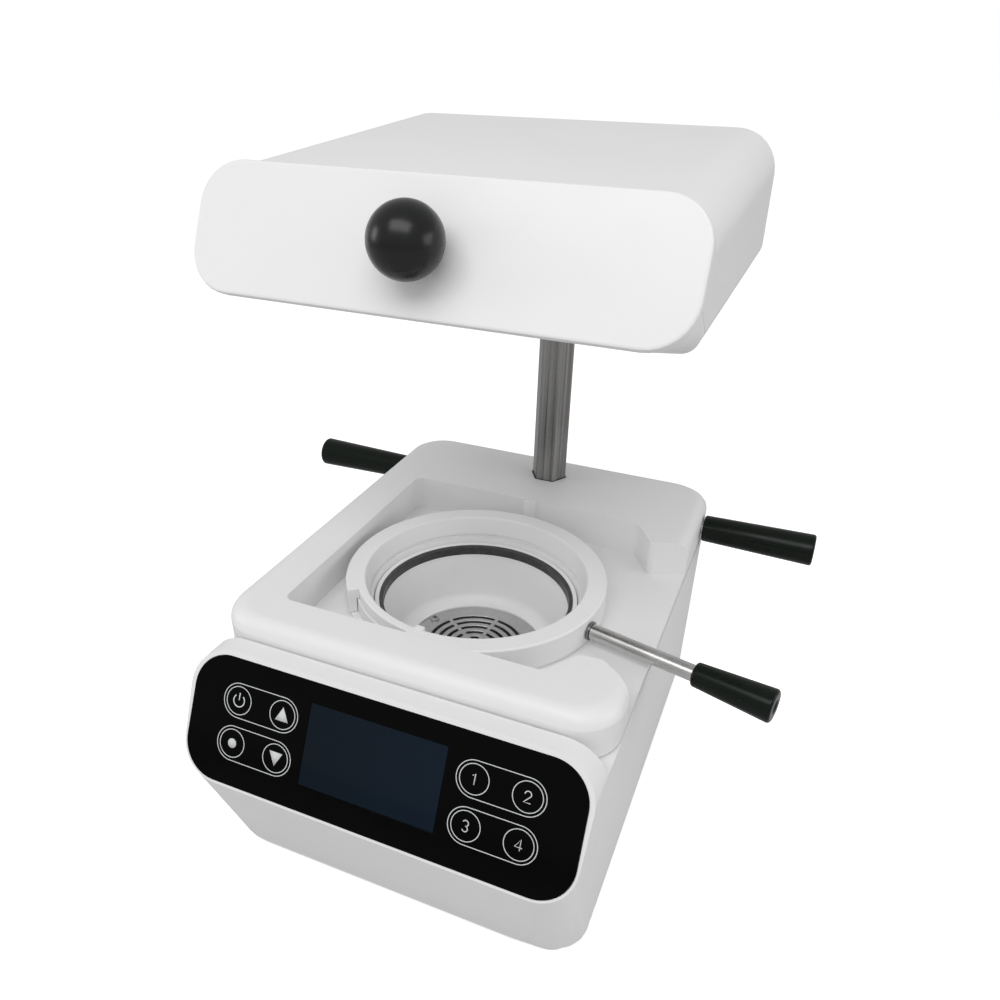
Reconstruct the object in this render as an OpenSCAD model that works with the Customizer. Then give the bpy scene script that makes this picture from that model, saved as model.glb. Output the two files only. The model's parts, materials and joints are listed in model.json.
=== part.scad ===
// Dental vacuum former: a console with a vacuum bowl, a foil carriage that
// slides on a hexagonal column, and a heater head that swings on its top.
// Millimetres, +Z up, origin on the bench below the middle of the machine.

/* [Overall] */
// Width of the console and of the tray
base_w = 210; // [200:1:224]
// Height of the tray's top face above the bench
tray_top = 131; // [128:1:140]
// Distance from the column to the centre of the clamp ring
ring_reach = 125; // [124:1:130]
// Height of the head's underside above the tray's top face
head_gap = 153; // [120:1:170]

/* [Console] */
// Height of the rubber feet below the console
foot_h = 3.5; // [3:0.5:6]
// Radius of a foot
foot_r = 9; // [7:0.5:12]
// Distance from the column to the console's rear wall
base_rear = 26; // [24:1:28]
// Distance from the column to the upper edge of the control panel
nose_reach = 236; // [236:1:242]
// Wall of the console's moulding
base_wall = 3.2; // [2.5:0.1:4]
// Drop from the tray's top face to the console's deck
deck_drop = 26; // [25.5:0.5:28]
// Plan radius of the console's lower front corners
foot_corner_r = 32; // [28:1:50]

/* [Control panel] */
// Width of the glossy panel
panel_w = 205; // [196:1:207]
// Height of the glossy panel along its slope
panel_h = 64; // [60:1:68]
// Corner radius of the panel
panel_r = 19; // [14:1:24]
// Lean of the panel from the vertical
panel_tilt = 25; // [20:1:30]
// Width of the display window
lcd_w = 72; // [60:1:78]
// Height of the display window
lcd_h = 41; // [36:1:44]

/* [Column] */
// Width of the hexagonal column across its flats
hex_af = 20; // [18:1:22]
// Diameter of the round spigot that the head turns on
spigot_d = 14; // [13:1:15]
// Diameter of the wiring bore through the column
wire_bore_d = 7; // [5:0.5:8]

/* [Foil clamp] */
// Outer radius of the clamp ring
ring_r = 72; // [71:0.5:73]
// Inner radius of the clamp ring at its top
ring_in = 62; // [61:0.5:62.5]
// Diameter of the foil that the ring clamps
foil_d = 120; // [118:1:121]
// Diameter of the lever's rod
lever_d = 8.4; // [7:0.2:9]
// Reach of the lever from the ring's centre to the end of its grip
lever_reach = 171; // [160:1:180]
// Angle of the lever at rest, clockwise from the right-hand side
lever_angle = 12.8; // [10:0.2:15]

/* [Bowl] */
// Inner radius of the bowl at its lip
bowl_r = 53; // [50:0.5:54]
// Depth of the bowl from its lip to the grille
bowl_depth = 31; // [26:1:34]
// Radius of the grille disc
grille_r = 39; // [36:0.5:42]

/* [Tray] */
// Depth of the tray's pocket
pocket_depth = 22; // [20:0.5:22]
// Rounding of the tray's upper edges
tray_round = 8; // [5:0.5:9]
// Length of a side grip
grip_len = 67; // [55:1:75]

/* [Head] */
// Width of the heater head
head_w = 225; // [220:1:236]
// Distance from the column to the head's front face
head_front = 200; // [192:1:206]
// Distance from the column to the head's rear
head_rear = 35; // [32:1:45]
// Height of the head at its rear
head_h = 66.5; // [64:0.5:72]
// Wall of the head's mouldings
head_wall = 3; // [2.5:0.1:4]
// Diameter of the ball knob
knob_d = 31; // [28:1:35]

/* [Hidden] */
$fn = 64;
hull_fn = 32;
fit = 0.05;
gap = 0.5;
seat = 0.3;

// Places that most pieces share
half_w = base_w / 2;
face_top = 2.5;
face_low = panel_h + 2.5;
front_reach = nose_reach + face_low * sin(panel_tilt);
col_y = (front_reach - head_rear) / 2;
ring_y = col_y - ring_reach;
nose_z = tray_top - 12.5;
nose_top = tray_top - 11.5;
tray_front = 223;
deck_z = tray_top - deck_drop;
deck_t = 4;
hex_r = hex_af / 2 / cos(30);

// Clamp stack, from the bench up
pocket_z = tray_top - pocket_depth;
tray_low = deck_z + 1;
seat_top = tray_top - 16;
ring_top = tray_top - 5;
foil_r = foil_d / 2 + 0.5;
lip_z = tray_top - 25;
seal_top = seat_top - 7.5;

// Head, from its underside up
head_z = tray_top + head_gap;
cover_t = 6;
fascia_t = 5;
fascia_low = 5;
face_lean = 24.3;
face_len = head_h - 8;
floor_t = 3.5;
shoulder_z = head_z + cover_t + 3;
spigot_h = 34;
hub_r = 17;
heater_r = 46;

// Lever and grips
lever_z = tray_top - 13.5;
lever_grip_len = 40;
handle_y = 3;
handle_z = tray_top - 15;
handle_rod_d = 8;

module at_column() { translate([0, col_y, 0]) children(); }
module at_ring() { translate([0, ring_y, 0]) children(); }

// The panel's plane: x across, y up the slope from the panel's upper edge, z out of the face
module at_face() {
    translate([0, col_y - nose_reach, nose_z]) rotate([90 - panel_tilt, 0, 0]) children();
}

// Rectangle with true round corners, centred
module rounded(w, d, r) {
    square([w - 2 * r, d], center = true);
    square([w, d - 2 * r], center = true);
    for (x = [-1, 1], y = [-1, 1]) translate([x * (w / 2 - r), y * (d / 2 - r)]) circle(r);
}

module tube(r_out, r_in, h) {
    difference() {
        cylinder(r = r_out, h = h);
        translate([0, 0, -1]) cylinder(r = r_in, h = h + 2);
    }
}

// Four upright corner posts of a hull: front radius rf, rear radius rr
module posts(w, front, rear, rf, rr, z, h) {
    for (x = [-1, 1]) {
        translate([x * (w / 2 - rf), -front + rf, z]) cylinder(r = rf, h = h, $fn = hull_fn);
        translate([x * (w / 2 - rr), rear - rr, z]) cylinder(r = rr, h = h, $fn = hull_fn);
    }
}

// Console form, drawn inwards by a wall
module base_form(wall) {
    low_round = 4;
    nose_r = 20;
    hull() {
        at_face() translate([0, -(face_low - face_top) / 2, -wall - 1]) linear_extrude(1)
            rounded(base_w - 2 * wall, face_low + face_top - 2 * wall, panel_r + 2.5 - wall / 2,
                $fn = hull_fn);
        at_column() translate([0, -tray_front - 1, 0]) rotate([90, 0, 0]) linear_extrude(0.5)
            translate([0, nose_top - 30]) rounded(base_w - 2 * wall, 60 - 2 * wall,
                nose_r - wall / 2, $fn = hull_fn);
        at_column() posts(base_w - 2 * wall, tray_front - wall, base_rear - wall, 8, 20,
            deck_z - wall - 1, 1);
        at_column() posts(base_w - 1 - 2 * wall, low_front - wall, base_rear - 2 - wall,
            foot_corner_r, 28, foot_h + low_round, 1);
        at_column() posts(base_w - 1 - 2 * wall - low_round, low_front - wall - low_round / 2,
            base_rear - 2 - wall - low_round / 2, foot_corner_r, 28, foot_h, 1);
    }
}

rear_w = 150;
rear_z = 14;
rear_h = deck_z - 12 - rear_z;
rear_in = base_rear - 4.3;
rear_margin = 8;

module body_shell() {
    color("white") difference() {
        base_form(0);
        // deck behind the nose
        at_column() translate([-base_w, -tray_front - 1, deck_z]) cube([2 * base_w, 400, 60]);
        difference() {
            base_form(base_wall);
            at_column() translate([-base_w, -tray_front - 1 - base_wall, deck_z - deck_t])
                cube([2 * base_w, 400, 60]);
            translate([-base_w, -base_w, -1]) cube([2 * base_w, 3 * base_w, foot_h + 1 + ledge_t]);
            at_column() for (p = foot_places) translate([p[0], p[1], 0])
                cylinder(r = 6, h = foot_h + 24);
            at_column() translate([-rear_w / 2 - 3, rear_in, 0]) cube([rear_w + 6, 20, 200]);
        }
        // open underside with a ledge for the base plate, and a boss over each foot
        translate([0, 0, -1]) linear_extrude(foot_h + 1 + plate_t + 0.1) plate_plan(0.4);
        difference() {
            linear_extrude(foot_h + ledge_t + 1) plate_plan(-8);
            at_column() for (p = foot_places) translate([p[0], p[1], foot_h + plate_t])
                cylinder(r = 6, h = 30);
        }
        at_column() for (p = foot_places) translate([p[0], p[1], 0])
            cylinder(r = 1.9, h = foot_h + 14);
        at_column() translate([-32, -18.6, foot_h + plate_t]) cube([64, 37.2, ledge_t]);
        // openings for the bowl, the column and the rear panel
        at_ring() translate([0, 0, deck_z - 10]) cylinder(r = bowl_r + 6, h = 30);
        at_column() translate([0, 0, deck_z - 10]) cylinder(r = hex_r + 2, h = 30);
        at_column() translate([-rear_w / 2, rear_in - 12, rear_z]) cube([rear_w, 12, rear_h]);
        at_column() translate([-rear_w / 2 + rear_margin, rear_in - 1, rear_z + rear_margin])
            cube([rear_w - 2 * rear_margin, 20, rear_h - 2 * rear_margin]);
        at_column() for (p = rear_screw_places) translate([p[0], rear_in - 1, p[1]])
            rotate([-90, 0, 0]) {
                cylinder(r = 1.8, h = 20);
                translate([0, 0, 2.4]) cylinder(r = 3.4, h = 20);
            }
        // seat of the glossy panel, with a window behind the display
        at_face() translate([0, -panel_h / 2, -1.2]) linear_extrude(5)
            rounded(panel_w, panel_h, panel_r);
        at_face() translate([0, -lcd_mid, -8]) linear_extrude(10)
            square([lcd_w + 6, lcd_h + 6], center = true);
    }
}

lcd_mid = 10 + lcd_h / 2;

plate_t = 3;
ledge_t = 6;
low_front = front_reach - 18.5;
foot_places = [for (x = [-1, 1]) each [[x * (half_w - 44), -low_front + 20],
    [x * (half_w - 39), base_rear - 22]]];

// Plan of the base plate, grown by a clearance
module plate_plan(grow) {
    front = low_front - 8;
    rear = base_rear - 10;
    at_column() translate([0, (rear - front) / 2])
        rounded(base_w - 20 + 2 * grow, front + rear + 2 * grow, foot_corner_r - 8 + grow);
}

module base_plate() {
    color("silver") translate([0, 0, foot_h]) difference() {
        linear_extrude(plate_t) plate_plan(0);
        at_column() for (p = foot_places) translate([p[0], p[1], -1]) cylinder(r = 2.2, h = 6);
        at_column() for (p = socket_screw_places) translate([p[0], p[1], -1])
            cylinder(r = 2.2, h = 6);
        for (i = [-4:4]) translate([i * 9, ring_y + 62, -1]) linear_extrude(6)
            rounded(4, 34, 1.9);
    }
}

module feet() {
    color("dimgray") at_column() for (p = foot_places) translate([p[0], p[1], 0]) difference() {
        union() {
            cylinder(r1 = foot_r - 1, r2 = foot_r, h = foot_h);
        }
        translate([0, 0, -1]) cylinder(r = 4.2, h = 2.6);
        cylinder(r = 2.2, h = 20);
    }
}

module base_screws() {
    color("silver") at_column() for (p = foot_places) translate([p[0], p[1], 0]) {
        translate([0, 0, 0.4]) cylinder(r = 3.8, h = 1.2);
        translate([0, 0, 1.6]) cylinder(r = 1.85, h = foot_h + 3.4);
    }
}

module rear_panel() {
    color("whitesmoke") at_column() difference() {
        translate([-rear_w / 2 + seat, rear_face - 2, rear_z + seat])
            cube([rear_w - 2 * seat, 2, rear_h - 2 * seat]);
        translate([inlet_x, base_rear, inlet_z]) rotate([90, 0, 0]) linear_extrude(12)
            square([inlet_w, inlet_h], center = true);
        translate([inlet_x, base_rear, switch_z]) rotate([90, 0, 0]) linear_extrude(12)
            square([switch_w, inlet_h], center = true);
        for (i = [0:7], j = [0, 1]) translate([18 + j * 30, base_rear, 30 + i * 6.5])
            rotate([90, 0, 0]) linear_extrude(12) rounded(24, 3, 1.45);
        for (p = rear_screw_places) translate([p[0], base_rear, p[1]]) rotate([90, 0, 0])
            cylinder(r = 1.65, h = 12);
    }
}

rear_face = rear_in - 0.1;
inlet_z = 39;
inlet_w = 28;
inlet_x = -(rear_w / 2 - rear_margin - inlet_w / 2 - 7);
inlet_h = 21;
switch_z = inlet_z + 30;
switch_w = 15;
rear_screw_places = [for (x = [-1, 1], z = [rear_z + 14, rear_z + rear_h - 14])
    [x * (rear_w / 2 - rear_margin / 2), z]];

module rear_screws() {
    color("silver") at_column() for (p = rear_screw_places)
        translate([p[0], rear_in + 1.45, p[1]]) rotate([-90, 0, 0]) {
            cylinder(r = 3, h = 1.2);
            translate([0, 0, -6]) cylinder(r = 1.6, h = 6);
        }
}

module mains_inlet() {
    color("black") at_column() translate([inlet_x, rear_face + fit, inlet_z]) rotate([90, 0, 0])
    difference() {
        union() {
            translate([0, 0, -2]) linear_extrude(2) rounded(inlet_w + 8, inlet_h + 8, 3);
            linear_extrude(20) square([inlet_w - 2 * seat, inlet_h - 2 * seat], center = true);
        }
        translate([0, 0, -3]) linear_extrude(20) square([24, 16.4], center = true);
    }
}

module inlet_pins() {
    color("silver") at_column() translate([inlet_x, rear_face + fit, inlet_z]) rotate([90, 0, 0])
        for (p = [[-7, -2], [0, 2], [7, -2]]) translate([p[0] - 1, p[1] - 2, 3.2])
            cube([2, 4, 13.8]);
}

rocker_in = 2;
rocker_pin_r = 1.15;
rocker_tilt = 8;
module switch_frame() {
    color("black") at_column() translate([inlet_x, rear_face + fit, switch_z]) rotate([90, 0, 0])
    difference() {
        union() {
            translate([0, 0, -2]) linear_extrude(2) rounded(switch_w + 4, inlet_h + 8, 2);
            linear_extrude(15) square([switch_w - 2 * seat, inlet_h - 2 * seat], center = true);
        }
        translate([0, 0, -3]) linear_extrude(16) square([switch_w - 4, inlet_h - 3],
            center = true);
        translate([-switch_w / 2 - 1, 0, rocker_in]) rotate([0, 90, 0])
            cylinder(r = rocker_pin_r + fit, h = switch_w + 2);
    }
}

// Rocker with its two pivot pins, tilted to its off position
module switch_rocker() {
    w = switch_w - 4 - 0.8;
    color("firebrick") at_column()
    translate([inlet_x, rear_face + fit - rocker_in, switch_z]) rotate([90, 0, 0]) {
        rotate([0, 90, 0]) rotate([0, 0, rocker_tilt]) translate([0, 0, -w / 2])
            linear_extrude(w) polygon(rocker_outline);
        translate([-switch_w / 2 + 0.4, 0, 0]) rotate([0, 90, 0])
            cylinder(r = rocker_pin_r, h = switch_w - 0.8);
    }
}
rocker_outline = [[-3, -6.6], [1.2, -7.6], [4.2, -7.2], [3.2, 0], [4.2, 7.2], [1.2, 7.6],
    [-3, 6.6]];

module control_panel() {
    color("black") at_face() translate([0, 0, -1.2 + 0.05]) difference() {
        translate([0, -panel_h / 2, 0]) linear_extrude(1.6)
            rounded(panel_w - 0.6, panel_h - 0.6, panel_r - 0.3);
        translate([0, -lcd_mid, -1]) linear_extrude(4) square([lcd_w, lcd_h], center = true);
    }
}

module display() {
    color("midnightblue") at_face() translate([0, -lcd_mid, 0]) {
        translate([0, 0, -1.15]) linear_extrude(1.5)
            square([lcd_w - 0.4, lcd_h - 0.4], center = true);
        translate([0, 0, -5.2]) linear_extrude(4.05)
            square([lcd_w + 5, lcd_h + 5], center = true);
    }
}

module control_board() {
    color("darkgreen") at_face() translate([0, -panel_h / 2, -6.8]) linear_extrude(1.6)
        rounded(panel_w - 30, panel_h - 14, 4);
}

module power_board() {
    color("darkgreen") at_column() translate([34, -84, foot_h + 9]) {
        cube([52, 70, 1.6]);
        for (p = [[8, 10], [8, 40]]) translate([p[0], p[1], 1.6]) cube([14, 18, 16]);
        translate([38, 20, 1.6]) cylinder(r = 9, h = 24);
        for (x = [4, 48], y = [4, 66]) translate([x, y, -6]) cylinder(r = 3, h = 6);
    }
}

module transformer() {
    color("dimgray") at_column() translate([-84, -68, foot_h + 3]) {
        cube([44, 50, 3]);
        translate([4, 4, 3]) cube([36, 42, 34]);
        translate([-1, 12, 9]) cube([46, 26, 22]);
    }
}

floor_z = lip_z - bowl_depth;
bowl_floor_t = 3;
module bowl() {
    wall = 3;
    flange_r = bowl_r + 13;
    side_r = bowl_r - 6;
    round_in = side_r - grille_r - 0.6;
    color("white") at_ring() rotate_extrude() polygon(concat(
        [[20, floor_z - bowl_floor_t - wall], [side_r + wall - 6, floor_z - bowl_floor_t - wall]],
        [for (a = [-90:15:0]) [side_r + wall - 6 + 6 * cos(a),
            floor_z - bowl_floor_t - wall + 6 + 6 * sin(a)]],
        [[bowl_r + wall, deck_z], [flange_r, deck_z], [flange_r, deck_z + 0.7],
            [bowl_r + 5.5, lip_z + 0.3], [bowl_r + 5.5, lip_z - 1], [bowl_r + 1, lip_z - 1],
            [bowl_r + 1, lip_z], [bowl_r, lip_z]],
        [for (a = [0:-15:-90]) [side_r - round_in * (1 - cos(a)),
            floor_z + round_in * (1 + sin(a))]],
        [[grille_r + 0.4, floor_z], [grille_r + 0.4, floor_z - bowl_floor_t],
            [20, floor_z - bowl_floor_t]]
    ));
}

// Ring of soft rubber in the groove of the bowl's lip
module bowl_seal() {
    color("black") at_ring() rotate_extrude() polygon([
        [bowl_r + 1.1, lip_z - 0.9], [bowl_r + 5.4, lip_z - 0.9], [bowl_r + 5.4, lip_z + 0.6],
        [bowl_r + 5.2, seal_top - 0.6], [bowl_r + 4.4, seal_top], [bowl_r + 2, seal_top],
        [bowl_r + 1.1, seal_top - 0.8]]);
}

// Grille: rings of arc slots between spokes, and a rim hole for each screw
module grille_disc() {
    t = 2;
    color("darkgray") at_ring() translate([0, 0, floor_z - bowl_floor_t + 0.05]) difference() {
        union() {
            cylinder(r = grille_r, h = t);
            cylinder(r = grille_r - 7, h = t + 0.8);
        }
        for (k = [0:3]) for (q = [0:3]) rotate([0, 0, q * 90 + k * 20])
            translate([0, 0, -1]) rotate_extrude(angle = 90 - 260 / (9 + k * 5.6))
                translate([8.5 + k * 5.6, 0]) square([2.6, t + 4]);
        translate([0, 0, -1]) cylinder(r = 3, h = t + 4);
        for (a = grille_screw_angles) rotate([0, 0, a]) translate([grille_r - 3.5, 0, -1])
            cylinder(r = 1.6, h = t + 4);
    }
}
grille_screw_angles = [157, 277, 37];

module grille_screws() {
    color("silver") at_ring() for (a = grille_screw_angles) rotate([0, 0, a])
        translate([grille_r - 3.5, 0, floor_z - bowl_floor_t + 2.05]) {
            cylinder(r1 = 2.9, r2 = 2.3, h = 1.7);
            translate([0, 0, -2]) cylinder(r = 1.5, h = 2);
        }
}

socket_z = foot_h + 3;
socket_h = 52;
socket_screw_places = [for (x = [-1, 1], y = [-1, 1]) [x * 25, y * 11]];
module column() {
    color("gainsboro") at_column() difference() {
        union() {
            translate([0, 0, socket_z + 6]) cylinder(r = hex_r, h = shoulder_z - socket_z - 6,
                $fn = 6);
            translate([0, 0, shoulder_z]) cylinder(d = spigot_d, h = spigot_h + 6);
        }
        cylinder(d = wire_bore_d, h = 500);
    }
}

module column_socket() {
    color("gray") at_column() translate([0, 0, socket_z]) difference() {
        union() {
            linear_extrude(6) rounded(62, 36, 5);
            cylinder(r = 16, h = socket_h);
        }
        translate([0, 0, 6]) cylinder(r = hex_r + fit, h = socket_h, $fn = 6);
        translate([0, 0, -1]) cylinder(d = wire_bore_d, h = 20);
        for (p = socket_screw_places) translate([p[0], p[1], -1]) cylinder(r = 2.2, h = 9);
        translate([0, 0, socket_h - 12]) rotate([90, 0, 0]) cylinder(r = 2.6, h = 30);
    }
}

module socket_screws() {
    color("silver") at_column() {
        for (p = socket_screw_places) translate([p[0], p[1], socket_z]) {
            translate([0, 0, 6]) cylinder(r = 3.8, h = 3.4);
            translate([0, 0, -2.8]) cylinder(r = 2, h = 8.8);
        }
        translate([0, 0, socket_z + socket_h - 12]) rotate([90, 0, 0])
            translate([0, 0, hex_af / 2 + 0.2]) cylinder(r = 2.5, h = 7);
    }
}

module column_wiring() {
    color("dimgray") at_column() translate([0, 0, socket_z + 8])
        cylinder(d = wire_bore_d - 2, h = shoulder_z + spigot_h + 7 - socket_z - 8);
}

// Suction path: the bowl's outlet, the fan and its motor
fan_r = 50;
fan_z = foot_h + 31;
fan_h = 19;
elbow_z = floor_z - bowl_floor_t - 3;

module suction_elbow() {
    color("dimgray") at_ring() translate([0, 0, fan_z + fan_h]) {
        tube(24, 17, elbow_z - fan_z - fan_h);
    }
}

module fan_housing() {
    color("silver") at_ring() translate([0, 0, fan_z]) difference() {
        cylinder(r = fan_r, h = fan_h);
        translate([0, 0, 2]) cylinder(r = fan_r - 2, h = fan_h - 4);
        translate([0, 0, fan_h - 3]) cylinder(r = 17, h = 6);
        translate([0, 0, -1]) cylinder(r = 6, h = 6);
        translate([0, 30, 3]) cube([fan_r + 10, 12, fan_h - 6]);
    }
}

module fan_impeller() {
    blades = 9;
    color("gainsboro") at_ring() translate([0, 0, fan_z + 3.5]) {
        difference() {
            union() {
                cylinder(r = fan_r - 5, h = 1.2);
                cylinder(r = 8, h = 10);
            }
            translate([0, 0, -1]) cylinder(r = 3, h = 20);
        }
        for (i = [0:blades - 1]) rotate([0, 0, i * 360 / blades]) translate([0, 0, 1.2])
            linear_extrude(8.8) difference() {
                translate([24, -12]) circle(r = 20);
                translate([24, -12]) circle(r = 18.6);
                translate([0, -60]) square([100, 48]);
                circle(r = 15);
            }
        translate([0, 0, -25]) cylinder(r = 3, h = 38);
    }
}

motor_r = 34;
motor_z = foot_h + 7;
module motor_can() {
    color("gray") at_ring() translate([0, 0, motor_z]) difference() {
        union() {
            cylinder(r = motor_r, h = fan_z - motor_z);
            cylinder(r = motor_r - 8, h = fan_z - motor_z);
        }
        translate([0, 0, -1]) cylinder(r = 3 + fit, h = 60);
        for (i = [0:7]) rotate([0, 0, i * 45 + 22.5]) translate([motor_r - 3, -3, 4])
            cube([6, 6, fan_z - motor_z - 8]);
    }
}

module motor_mounts() {
    color("black") at_ring() for (i = [0:2]) rotate([0, 0, i * 120 + 30])
        translate([motor_r - 9, 0, foot_h + 3]) cylinder(r = 6, h = motor_z - foot_h - 3);
}

// Plan of the tray's pocket and lever channel, about the ring's centre
module pocket_plan() {
    side = ring_r + 6;
    far = base_w;
    offset(r = 5) offset(r = -9) offset(r = 4) polygon([
        [-side, -ring_r - 1.5], [ring_r - 8, -ring_r - 1.5], [ring_r + 4, -ring_r + 17],
        [ring_r + 16, -ring_r + 18], [half_w, -ring_r + 4], [far, -ring_r + 4], [far, ring_r],
        [half_w, ring_r], [ring_r + 12, ring_r - 9], [ring_r, ring_r + 10],
        [ring_r - 30, ring_r + 12], [-side, ring_r + 12]]);
}

// Tray form: stacked outlines give its rounded upper edge
module tray_form() {
    r = tray_round;
    depth = tray_front + base_rear + 2.6;
    hull() for (a = [0:22.5:90]) {
        in = r * (1 - cos(a));
        translate([0, -(tray_front - base_rear - 2.6) / 2, tray_top - r + r * sin(a) - 0.2])
            linear_extrude(0.2) rounded(base_w - 2 * in, depth - 2 * in, 22 - in / 2,
                $fn = hull_fn);
        translate([0, -(tray_front - base_rear - 2.6) / 2, tray_low]) linear_extrude(0.2)
            rounded(base_w - 1, depth - 1, 22, $fn = hull_fn);
    }
}

module tray() {
    wall = 3;
    block_rear = base_rear + 2.6 - wall;
    block_front = ring_reach - ring_r - 12 - wall;
    color("white") difference() {
        at_column() difference() {
            tray_form();
            // hollow of the rear block, around the guide and the handle bosses
            translate([0, 0, tray_low - 1]) linear_extrude(tray_top - tray_low + 1 - 4)
            difference() {
                translate([0, (block_rear - block_front) / 2])
                    rounded(base_w - 2 * wall - 6, block_rear + block_front, 8);
                circle(r = hex_r + 14);
                for (x = [-1, 1]) translate([x * (half_w - 15), -handle_y])
                    square([34, 15], center = true);
            }
            translate([0, 0, tray_low - 1]) cylinder(r = hex_r + 5, h = 20);
            translate([0, 0, tray_low - 1]) cylinder(r = hex_r + 12.3, h = 3.2);
            for (a = [45:90:315]) rotate([0, 0, a]) translate([bush_screw_r, 0, tray_low])
                cylinder(r = 1.3, h = 12);
            cylinder(r = hex_r + 0.8, h = tray_top + 10, $fn = 6);
            for (x = [-1, 1]) translate([x * (half_w - 28), -handle_y, handle_z])
                rotate([0, x * 90, 0]) cylinder(d = handle_rod_d + 2 * fit, h = 60);
        }
        at_ring() translate([0, 0, pocket_z]) linear_extrude(60) difference() {
            pocket_plan();
            translate([2, ring_r + 13.5]) circle(r = 3.5);
        }
        at_ring() translate([0, 0, tray_low - 1]) cylinder(r = foil_r + 5.5, h = 30);
    }
}

// Hexagonal guide that runs on the column
module guide_bush() {
    color("dimgray") at_column() translate([0, 0, tray_low + 0.3]) difference() {
        union() {
            cylinder(r = hex_r + 5 - fit, h = 18.4);
            cylinder(r = hex_r + 12, h = bush_flange);
        }
        translate([0, 0, -1]) cylinder(r = hex_r + 0.12, h = 40, $fn = 6);
        for (a = [45:90:315]) rotate([0, 0, a]) translate([bush_screw_r, 0, 0]) {
            translate([0, 0, -0.1]) cylinder(r1 = 2.75, r2 = 1.4, h = bush_flange + 0.2);
            cylinder(r = 1.4, h = 5);
        }
    }
}

bush_flange = 1.8;
bush_screw_r = hex_r + 8.5;
module bush_screws() {
    color("silver") at_column() for (a = [45:90:315]) rotate([0, 0, a])
        translate([bush_screw_r, 0, tray_low + 0.3]) {
            cylinder(r1 = 2.55, r2 = 1.25, h = bush_flange);
            translate([0, 0, bush_flange]) cylinder(r = 1.25, h = 7);
        }
}

// Lower ring: carries the foil on its ledge and the clamp ring on its collar
collar_r = ring_r - 4.4;
module seat_ring() {
    color("white") at_ring() difference() {
        rotate_extrude() polygon([
            [foil_r - 3, tray_low + 1.8], [foil_r + 5, tray_low + 1.8], [foil_r + 5, pocket_z + 0.05],
            [ring_r - 0.5, pocket_z + 0.05], [ring_r - 0.5, pocket_z + 2],
            [collar_r, pocket_z + 2], [collar_r, ring_top - 6.5], [foil_r + 3.2, ring_top - 6.5],
            [foil_r + 3.2, seat_top], [foil_r, seat_top], [foil_r, seat_top - 1.5],
            [foil_r - 2, seat_top - 1.5]]);
        for (a = bayonet_angles) rotate([0, 0, a]) translate([collar_r - 5, 0, bayonet_z])
            rotate([0, 90, 0]) cylinder(r = 1.5, h = 20);
    }
}

bayonet_angles = [75, 195, 315];
bayonet_z = pocket_z + 6.5;
turn_back = 14;
turn_ahead = 42;

module bayonet_pins() {
    color("silver") at_ring() for (a = bayonet_angles) rotate([0, 0, a])
        translate([collar_r - 3.9, 0, bayonet_z]) rotate([0, 90, 0])
            cylinder(r = 1.45, h = 3.9 + 3.6);
}

// Clamp ring: a cap with an outer skirt, an inner lip and a slot for each bayonet pin
module clamp_ring() {
    skirt_in = collar_r + 0.3;
    color("white") at_ring() difference() {
        union() {
            rotate_extrude() polygon([
                [ring_in, ring_top], [ring_in - 0.8, ring_top - 1], [foil_r - 1, seat_top + 0.2],
                [foil_r + 2.9, seat_top + 0.2], [foil_r + 2.9, ring_top - 6.2],
                [skirt_in, ring_top - 6.2], [skirt_in, pocket_z + 2.3], [ring_r, pocket_z + 2.3],
                [ring_r, ring_top - 1.5], [ring_r - 1.5, ring_top]]);
            rotate([0, 0, -lever_angle]) translate([skirt_in + 0.1, 0, lever_z])
                rotate([0, 90, 0]) cylinder(r = 5.2, h = ring_r - skirt_in);
            // lug on the inner edge, at the end of the recess
            rotate([0, 0, recess_from + recess_turn + 4]) hull() {
                translate([ring_in - 1.6, -2.6, seat_top + 2]) cube([3, 5.2, 1]);
                for (y = [-1.6, 1.6]) translate([ring_in - 1.6, y, ring_top + 0.2])
                    rotate([0, 90, 0]) cylinder(r = 1, h = 3, $fn = hull_fn);
            }
        }
        for (a = bayonet_angles) rotate([0, 0, a - turn_ahead - 4])
            translate([0, 0, bayonet_z - 2.2]) rotate_extrude(angle = turn_ahead + turn_back + 8)
                translate([skirt_in - 1, 0]) square([20, 4.4]);
        rotate([0, 0, -lever_angle]) translate([skirt_in + 0.3, 0, lever_z]) rotate([0, 90, 0])
            cylinder(d = lever_d - 2.4 + 2 * fit, h = 20);
        // recess in the outer wall, where a thumb lifts the foil
        rotate([0, 0, recess_from]) translate([0, 0, pocket_z]) rotate_extrude(angle = recess_turn)
            translate([ring_in + 4.7, 0]) square(40);
    }
}
recess_from = 214;
recess_turn = 47;

lever_grip_in = lever_reach - lever_grip_len;
module at_lever() {
    at_ring() rotate([0, 0, -lever_angle]) translate([0, 0, lever_z]) rotate([0, 90, 0])
        children();
}

module lever_collar() {
    color("dimgray") at_lever() translate([0, 0, ring_r + 0.9]) tube(lever_d / 2 + 0.9,
        lever_d / 2 - 1.2 + fit, 1.6);
}

module lever_rod() {
    color("gainsboro") at_lever() {
        translate([0, 0, ring_r - 3.4]) cylinder(d = lever_d - 2.4, h = 6);
        translate([0, 0, ring_r + 2.55]) cylinder(d = lever_d,
            h = lever_grip_in - ring_r - 2.55);
        translate([0, 0, lever_grip_in - 1]) cylinder(d = lever_d - 2.4, h = 30);
    }
}

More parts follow.
